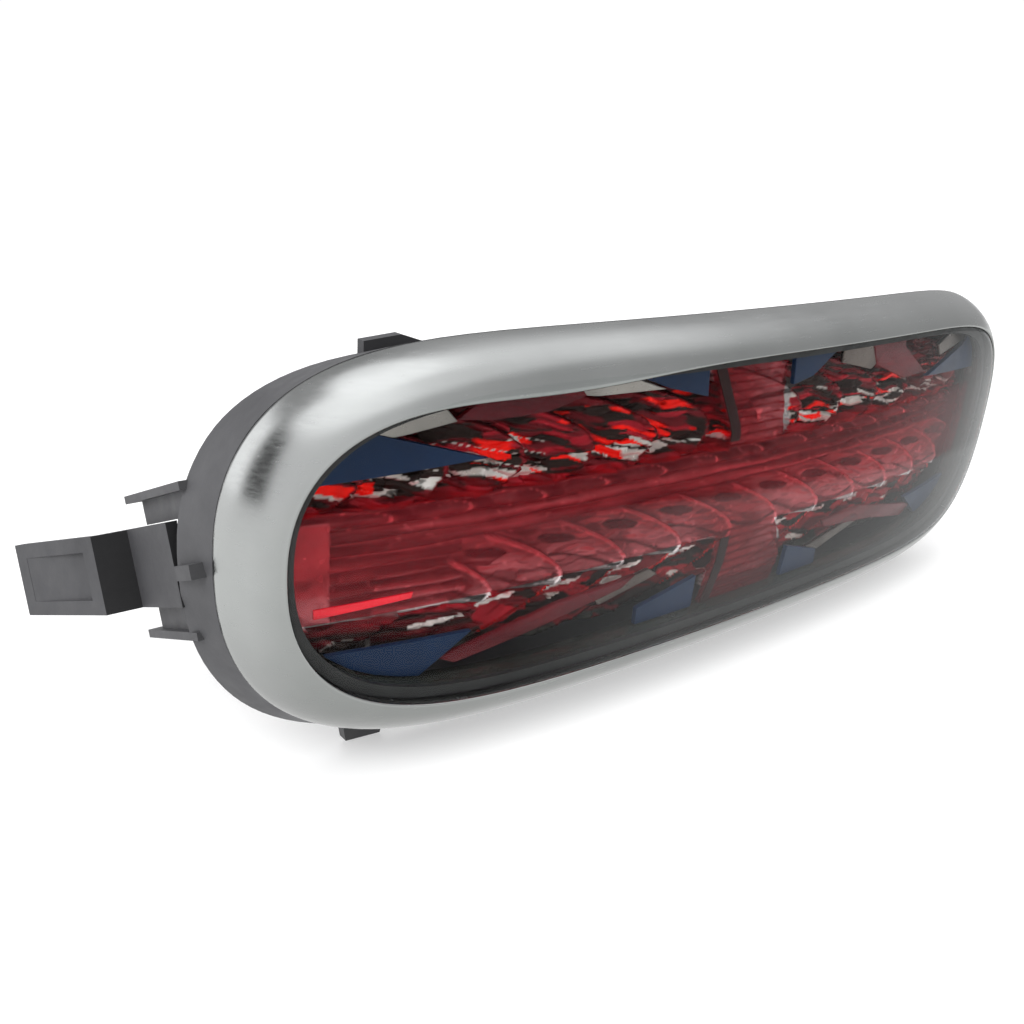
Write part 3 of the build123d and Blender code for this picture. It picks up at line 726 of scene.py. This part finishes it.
def upper(x, z):
    c = 9.0 * ((z - 17.5) / 7.0) ** 2
    t = (x + 68.7 + c) / 16.3
    i = math.floor(t)
    f = t - i
    wx = x + 1.1 * math.sin(z * 1.15 + x * 0.11)
    wz = z + 0.3 * x * (1 if x < 0 else 0.6) * 0.55 + 0.45 * math.sin(x * 0.7 + z * 0.5)
    r1, r2, dx, dz = facet(wx, wz, 6.8, 0.92, 0.35, 3)
    y = 2.6 - 4.2 * f ** 1.3 + 1.2 * ((z - 17.0) / 7.0) ** 2 + (r1 - 0.5) * 0.55 * dx + (r2 - 0.5) * 0.9 * dz
    # behind the upright bar: grey, with a painted highlight spot and a line of dark painted shade
    if edge(BAR_L, z) - 0.6 < x < edge(BAR_R, z) + 0.6:  # behind the upright bar
        col = grey(0.2 + 0.25 * r1)
        if 15.6 < z < 18.2 and -4 < x - 0.4 * (z - 16) < 0:
            col = (1.0, 0.7, 0.7)
        if abs(z - 21.2 - 0.12 * x) < 0.7:
            col = grey(0.03)
        return y * 0.6, col
    if z < 12.6:
        col = mixc(RED, RED_SHADED, 0.5 + 0.5 * math.sin(x * 0.6 + 3 * r1))
        return y, col
    led = 14.6 + 0.9 * math.sin(x * 0.21)
    # chromed ledge over the band, painted with highlights, glints and dark painted shade
    if z < led + 1.7:                                    # chromed ledge over the band
        if z < led - 0.9:
            col = DARK_SHADE if r1 > 0.45 else RED_SHADED
        elif x < -97.5:
            col = RED_GLINT if z > led - 0.4 else CHROME_HIGHLIGHT
        else:
            col = CHROME_HIGHLIGHT if r1 > 0.5 else (RED_GLINT if r1 > 0.3 else DARK_SHADE)
            if r2 > 0.84:
                col = WHITE_GLINT
            if abs(z - led - 1.5) < 0.25 or r1 > 0.93:
                col = DARK_SHADE
    elif z < 21.5:
        col = RED_GLINT if r1 > 0.9 else (RED if r1 > 0.66 else (RED_SHADED if r1 > 0.42 else DARK_SHADE))
        if r2 > 0.93:
            col = CHROME_HIGHLIGHT
        if x < -62 and abs(math.sin((z - 17) * 1.3 + (x + 75) * 0.28)) < 0.12:
            col = CHROME_HIGHLIGHT
    elif z < 25.2:
        col = DARK_SHADE if r1 > 0.45 else RED_SHADED
        if r1 > 0.93:
            col = RED_GLINT
        elif r1 < 0.12:
            col = RED
    else:
        col = RED_SHADED if r1 > 0.5 else DARK_SHADE
    # painted shade in the crease at each cup's rim, then a painted glint along the rim
    if f < 0.07:
        col = DARK_SHADE
    elif f < 0.12 and z < 21:
        col = RED_GLINT if r2 > 0.4 else CHROME_HIGHLIGHT
    elif f > 0.96:
        col = mixc(RED, DARK_SHADE, 0.4)
    col = mixc(col, RED, 0.5 * step(x, 55, 100))
    return y, col


def lower(x, z):
    d = z + 9.0
    c = 16.0 * (d / 10.3) ** 1.7 if d > 0 else 7.0 * (-d / 5.0) ** 1.5
    t = (x + 57.3 + c) / 16.9
    i = math.floor(t)
    f = t - i
    h = hsh(i, 3)
    wx = x + 1.3 * math.sin(z * 0.9 + x * 0.1)
    wz = z - 0.13 * x + 0.5 * math.sin(x * 0.45 + z * 0.6)
    r1, r2, dx, dz = facet(wx, wz, 5.2, 1.3, 0.5, 9)
    if z > BT - 0.3:
        return 1.8, mixc(RED, RED_SHADED, r1)
    # the greys here paint light and dark streaks along the flutes, highlight lines and dark shade on the metal
    if z > -10.8:                                        # seen through the red band: neutral metal, tinted by the band
        if x < -105.2 and z < 8.5:
            return 1.5, grey(0.62)
        if z > 1.6 or x < -80 + 2.2 * math.sin(z * 0.7):
            y = 1.8 - 0.8 * math.cos(2 * math.pi * z / 2.7) - 0.3 * math.cos(x * 0.23 + z)
            w = 0.5 + 0.5 * math.sin(2 * math.pi * (z + 0.012 * x) / 2.35 + 0.9 * math.sin(x * 0.06))
            v = 0.1 + 0.55 * w * w + 0.14 * (r1 - 0.5)
            if z > 6.4:
                v = 0.2 + 0.16 * (r1 - 0.5)
                g = (x + 62.0 + 2.4 * (z - 8.2) ** 2) / 16.3
                g -= math.floor(g)
                if g < 0.05 and z < 10.2:
                    return y, (1.0, 0.75, 0.75)
                if 0.1 < g < 0.34 and 7.4 < z < 9.2:
                    v = 0.06
            if x < -97 and z < -2:
                v = 0.2 + 0.1 * r1
            return y, grey(v)
        y = 3.0 - 4.6 * f ** 1.25 + 0.8 * (d / 8.0) ** 2 + (r1 - 0.5) * 0.3 * dx + (r2 - 0.5) * 0.5 * dz
        v = 0.36 + 0.4 * (r1 - 0.5)
        el = ((f - 0.52) / 0.26) ** 2 + ((z + 1.9 - 2.2 * (f - 0.5)) / 1.35) ** 2
        if el < 1.0:
            v = 0.012
        elif ((f - 0.6) / 0.3) ** 2 + ((z + 5.3) / 1.5) ** 2 < 1.0:
            v = 0.5
        elif abs(z + 8.0 - 2.0 * math.sin(f * 4 + h * 3)) < 0.45:
            v = 0.045
        # painted highlight along each cup's rim
        if f > 0.95:
            return y, (1.0, 0.95, 0.95)
        if f < 0.07:
            v = 0.07
        return y, grey(v)
    # below the band
    y = 3.0 - 3.6 * f ** 1.25 + 0.8 * (d / 8.0) ** 2 + (r1 - 0.5) * 0.4 * dx + (r2 - 0.5) * 0.7 * dz
    if edge(BAR_L, z) - 0.6 < x < edge(BAR_R, z) + 0.6:
        return y * 0.6, grey(0.26 + 0.14 * r1)
    # a dark painted-shade ellipse with a chrome highlight rim
    ex, ez = x + 102.3, z + 16.8
    if (ex / 5.2) ** 2 + (ez / 2.5) ** 2 < 1.0:
        return y, (DARK_SHADE if (ex / 4.6) ** 2 + ((ez - 0.25) / 2.1) ** 2 < 1.0 else mixc(CHROME_HIGHLIGHT, DARK_SHADE, 0.4))
    # left end: flutes painted in alternating shaded red and dark bands, with a line of white painted glint
    if x < -76:
        w = math.sin(2 * math.pi * (z - 0.06 * x) / 2.0)
        col = mixc(RED_SHADED, DARK_SHADE, 0.5 + 0.5 * w)
        if z > -12.3:
            col = mixc(RED, RED_SHADED, 0.5 + 0.5 * w)
        if abs(z + 14.0 - 0.14 * (x + 84)) < 0.4 and x > -90:
            col = WHITE_GLINT
        if z < -18.5:
            col = GRN
        return y, col
    slant = z + 14.6 - 0.10 * (x + 60)
    m = z + 20.5 - 0.16 * (x + 60)
    if z < -21.5 + 0.02 * x:
        col = mixc(GRN, DARK_SHADE, r1 * 0.6)
        if r1 > 0.86:
            col = RED_SHADED
    elif 0.2 < f < 0.62 and abs(z + 12.9 - 1.6 * (f - 0.4) * 2) < 0.5:
        col = WHITE_GLINT if h > 0.25 else CHROME_HIGHLIGHT
    elif z > -14.5:
        col = RED if r1 > 0.5 else (DARK_SHADE if r1 > 0.25 else RED_SHADED)
    elif z > -19:
        col = RED if r1 > 0.62 else (RED_SHADED if r1 > 0.3 else DARK_SHADE)
        if r2 > 0.93:
            col = CHROME_HIGHLIGHT
    else:
        col = RED_SHADED if r1 > 0.55 else DARK_SHADE
    # painted shade in each cup's crease and a painted red glint along its rim
    if f < 0.06:
        col = DARK_SHADE
    if f > 0.95 and z > -19:
        col = mixc(RED_GLINT, RED, 0.4)
    return y, col


relief("reflector_cups_upper", 8.2, 30.4, (0.4, 0.32), upper, ("reflector_upper",))
relief("reflector_cups_lower", -27.6, 8.0, (0.4, 0.34), lower, ("reflector_lower",))

# bright rib along the band's lower left, part of the band's moulding, coloured near-opaque bright red as a painted
# highlight on its crest
plates("red_light_rib", [[(-108.5, -9.3), (-90.0, -8.2), (-89.6, -7.0), (-108.5, -7.4)]], YB - 0.5, 0.45, M["redhot"], (), bevel=0.1)

# ------------------------------------------------------------------ snap arms
CDI, SDI = math.cos(math.radians(23.7)), math.sin(math.radians(23.7))
AX, AT, AU0, AU1, AV0, AV1, AV2, AJ, AF = 125.4, 2.2, -0.7, 15.0, 23.2, 46.5, 77.5, 6.9, 7.6


def snap(name, sx, body, node):
    def rise(v, low_):
        t_ = max(0.0, (v - AV1) / (AV2 - AV1))
        return (1.7 if low_ else 1.25) * t_

    def G(x, v, u):
        return P(sx * x, v * CDI + u * SDI, -v * SDI + u * CDI)
    bm = bmesh.new()
    tx, tv = AF, AV2 - AV1 - 0.6
    ln = math.hypot(tx, tv)
    nx_, nv_ = tv / ln, -tx / ln                         # outward across the tab
    def T(t, d=0.0):
        return (AX + AJ + tx * t + nx_ * d, AV1 + 0.6 + tv * t + nv_ * d)
    ts = [0.0, 0.13, 0.87, 1.0]
    out = [(AX, AV0)] + [(AX, AV0 + (AV1 - AV0) * i / 4) for i in (1, 2, 3)] + [(AX, AV1)] + [T(t) for t in ts]
    inn = [T(1.0, -AT), (AX + AJ - AT * 0.75, AV1 + 0.6 + AT), (AX - AT, AV1 + AT), (AX - AT, AV0)]
    prof = out + inn
    us_ = [0.0, 0.19, 0.81, 1.0]

    def uv(v, q):
        lo_, hi_ = AU0 + rise(v, True), AU1 + rise(v, False)
        return lo_ + (hi_ - lo_) * q
    grid = [[bm.verts.new(G(x, v, uv(v, q))) for x, v in prof] for q in us_]
    n_ = len(prof)
    r0 = len(out) - 3                                    # the recess cell runs from here to the next
    for a_ in range(3):
        for i in range(n_):
            j = (i + 1) % n_
            if a_ == 1 and i == r0:
                continue
            bm.faces.new((grid[a_][i], grid[a_][j], grid[a_ + 1][j], grid[a_ + 1][i]))
    for row in (grid[0], grid[3]):
        # end caps in quads along the strap
        k0 = [(0, n_ - 1), (4, n_ - 2), (5, n_ - 3), (len(out) - 1, n_ - 4)]
        bm.faces.new([row[i] for i in range(0, 5)] + [row[n_ - 2], row[n_ - 1]])
        bm.faces.new([row[4], row[5], row[n_ - 3], row[n_ - 2]])
        bm.faces.new([row[i] for i in range(5, len(out))] + [row[n_ - 4], row[n_ - 3]])
    x0, v0 = T(ts[1] + 0.012, -1.15)
    x1, v1 = T(ts[2], -0.04)
    c00, c10 = bm.verts.new(G(x0, v0, uv(v0, us_[1] + 0.012))), bm.verts.new(G(x1, v1, uv(v1, us_[1] + 0.004)))
    c01, c11 = bm.verts.new(G(x0, v0, uv(v0, us_[2] - 0.012))), bm.verts.new(G(x1, v1, uv(v1, us_[2] - 0.004)))
    o00, o10, o01, o11 = grid[1][r0], grid[1][r0 + 1], grid[2][r0], grid[2][r0 + 1]
    bm.faces.new((c00, c10, c11, c01))
    bm.faces.new((o00, o10, c10, c00))
    bm.faces.new((o01, c01, c11, o11))
    bm.faces.new((o00, c00, c01, o01))
    bm.faces.new((o10, o11, c11, c10))
    bmesh.ops.recalc_face_normals(bm, faces=bm.faces)
    me_ = bpy.data.meshes.new(name)
    bm.to_mesh(me_)
    bm.free()
    o = bpy.data.objects.new(name, me_)
    bpy.context.scene.collection.objects.link(o)
    me_.materials.append(M["arm"])
    bv = o.modifiers.new("edge", "BEVEL")
    bv.width = 0.00045
    bv.segments = 3
    bv.limit_method = "ANGLE"
    bv.angle_limit = math.radians(25)
    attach(o, body)
    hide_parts(node)
    return o


snap("snap_arm_left_shell", -1, "left_arm", "snap_arm_left")
snap("snap_arm_right_shell", 1, "right_arm", "snap_arm_right")

# ------------------------------------------------------------------ floor, light, camera
lo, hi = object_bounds()[0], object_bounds()[1]
zf = lo[2] - 0.0002
bm = bmesh.new()
R = 60.0
for i in range(41):
    for j in range(41):
        bm.verts.new((-R + 2 * R * i / 40, -R + 2 * R * j / 40, zf))
bm.verts.ensure_lookup_table()
for i in range(40):
    for j in range(40):
        bm.faces.new([bm.verts[i * 41 + j], bm.verts[(i + 1) * 41 + j], bm.verts[(i + 1) * 41 + j + 1], bm.verts[i * 41 + j + 1]])
me = bpy.data.meshes.new("studio_floor")
bm.to_mesh(me)
bm.free()
floor = bpy.data.objects.new("studio_floor", me)
bpy.context.scene.collection.objects.link(floor)
k = N("floor_pale")
b = k.bsdf(Roughness=0.9)
b.inputs["Specular IOR Level"].default_value = 0.1
k.l(k.ramp(k.noise(3, 2), [(0.3, (0.6, 0.6, 0.6)), (0.7, (0.62, 0.62, 0.62))]), b.inputs["Base Color"])
b.inputs["Emission Color"].default_value = (1, 1, 1, 1)
b.inputs["Emission Strength"].default_value = 0.42
me.materials.append(k.done(b.outputs["BSDF"]))
floor.visible_glossy = False   # gloss sees the studio below the lamp, not the floor

w = bpy.data.worlds.new("studio")
bpy.context.scene.world = w
w.use_nodes = True
wt = w.node_tree
bgn = wt.nodes["Background"]
bgn.inputs["Strength"].default_value = 1.0


def wn(kind, **kw):
    x = wt.nodes.new(kind)
    for k2, v2 in kw.items():
        setattr(x, k2, v2)
    return x


def wmath(op, a_, b_=None, c_=None):
    x = wn("ShaderNodeMath", operation=op)
    for i_, v2 in enumerate((a_, b_, c_)):
        if v2 is None:
            continue
        if isinstance(v2, (int, float)):
            x.inputs[i_].default_value = v2
        else:
            wt.links.new(v2, x.inputs[i_])
    return x.outputs["Value"]


def wramp(fac, stops):
    x = wn("ShaderNodeValToRGB")
    e = x.color_ramp.elements
    while len(e) < len(stops):
        e.new(0.5)
    for el, (az_, v2) in zip(e, stops):
        el.position = (az_ + 180.0) / 360.0
        el.color = (v2, v2, v2, 1)
    wt.links.new(fac, x.inputs["Fac"])
    return x.outputs["Color"]


def wstep(v, lo_, hi_):
    x = wn("ShaderNodeMapRange", interpolation_type="SMOOTHSTEP")
    x.inputs["From Min"].default_value = math.sin(math.radians(lo_))
    x.inputs["From Max"].default_value = math.sin(math.radians(hi_))
    wt.links.new(v, x.inputs["Value"])
    return x.outputs["Result"]


def wmix(f_, a_, b_):
    x = wn("ShaderNodeMix", data_type="RGBA")
    wt.links.new(f_, x.inputs[0])
    for s_, v2 in ((x.inputs[6], a_), (x.inputs[7], b_)):
        if isinstance(v2, tuple):
            s_.default_value = v2
        else:
            wt.links.new(v2, s_)
    return x.outputs[2]


wtc = wn("ShaderNodeTexCoord")
wsep = wn("ShaderNodeSeparateXYZ")
wt.links.new(wtc.outputs["Generated"], wsep.inputs["Vector"])
wz = wsep.outputs["Z"]
azi = wmath("MULTIPLY_ADD", wmath("ARCTAN2", wsep.outputs["X"], wmath("MULTIPLY", wsep.outputs["Y"], -1.0)), 1 / (2 * math.pi), 0.5)
low = wramp(azi, [(-180, 0.33), (-150, 0.5), (-142, 1.1), (-108, 1.3), (-103, 0.02), (-85, 0.02), (-80, 0.8), (-30, 0.86), (0, 0.82), (22, 0.55), (50, 0.42), (180, 0.33)])
mid = wramp(azi, [(-180, 0.3), (-112, 0.33), (-99, 0.35), (-87, 1.25), (-50, 1.42), (0, 1.38), (28, 0.92), (104, 0.95), (128, 0.5), (150, 0.33), (180, 0.3)])
under = wramp(azi, [(-180, 0.3), (-150, 0.4), (-142, 0.66), (-108, 0.74), (-103, 0.2), (-85, 0.2), (-80, 0.6), (0, 0.6), (50, 0.45), (180, 0.33)])
top = wramp(azi, [(-180, 1.15), (-120, 1.45), (0, 1.55), (110, 1.45), (180, 1.15)])
sky = wmix(wstep(wz, 67, 76), wmix(wstep(wz, 34, 48), wmix(wstep(wz, -18, -6), under, low), mid), top)
gain = wn("ShaderNodeMix", data_type="RGBA", blend_type="MULTIPLY")
gain.inputs[0].default_value = 1.0
wt.links.new(sky, gain.inputs[6])
gain.inputs[7].default_value = (1.24, 1.24, 1.25, 1)
full = gain.outputs[2]
full = wmix(wmath("LESS_THAN", wz, 0.004), full, (1.02, 1.02, 1.02, 1))
# a plain white backdrop behind the lamp, whatever the lights round it are
lp = wn("ShaderNodeLightPath")
full = wmix(lp.outputs["Is Camera Ray"], full, (1.02, 1.02, 1.02, 1))
wt.links.new(full, bgn.inputs["Color"])


SUN = 0.7


def area(name, loc, target, size, power, size_y=None):
    l = bpy.data.lights.new(name, "AREA")
    l.energy = power
    l.shape = "RECTANGLE"
    l.size = size
    l.size_y = size_y or size
    o = bpy.data.objects.new(name, l)
    bpy.context.scene.collection.objects.link(o)
    o.location = loc
    o.rotation_euler = (Vector(target) - Vector(loc)).to_track_quat("-Z", "Y").to_euler()
    return o


sun = bpy.data.lights.new("soft_fill", "SUN")
sun.energy = SUN
sun.angle = math.radians(50)
so = bpy.data.objects.new("soft_fill", sun)
bpy.context.scene.collection.objects.link(so)
so.rotation_euler = Vector((0.35, 0.35, -1.0)).to_track_quat("-Z", "Y").to_euler()
so.visible_glossy = False
area("rear_fill", (0.25, 0.95, 0.75), (0, 0, 0), 0.7, 5.0).visible_glossy = False
area("key", (-0.75, -0.2, 0.7), (-0.05, 0, 0), 0.45, 3.0).visible_glossy = False

Mrot = [[0.7807238834665582, -0.621185633031819, 0.06781317792106852],
        [-0.18041424825973265, -0.3279803230743204, -0.927296935561064],
        [0.5982649219282138, 0.7117284011411394, -0.36813281054438163]]
cam = bpy.data.cameras.new("camera")
cam.sensor_width = 36.0
cam.lens = 1019.0 * 36.0 / 1024.0
cam.clip_start = 0.01
co = bpy.data.objects.new("camera", cam)
bpy.context.scene.collection.objects.link(co)
r, u_, bk = Mrot[0], [-v for v in Mrot[1]], [-v for v in Mrot[2]]
loc = P(-185.90318741, -141.15621957, 77.77017645)
co.matrix_world = Matrix(((r[0], u_[0], bk[0], loc[0]), (r[1], u_[1], bk[1], loc[1]), (r[2], u_[2], bk[2], loc[2]), (0, 0, 0, 1)))
bpy.context.scene.camera = co
bpy.context.scene.view_settings.view_transform = "Standard"
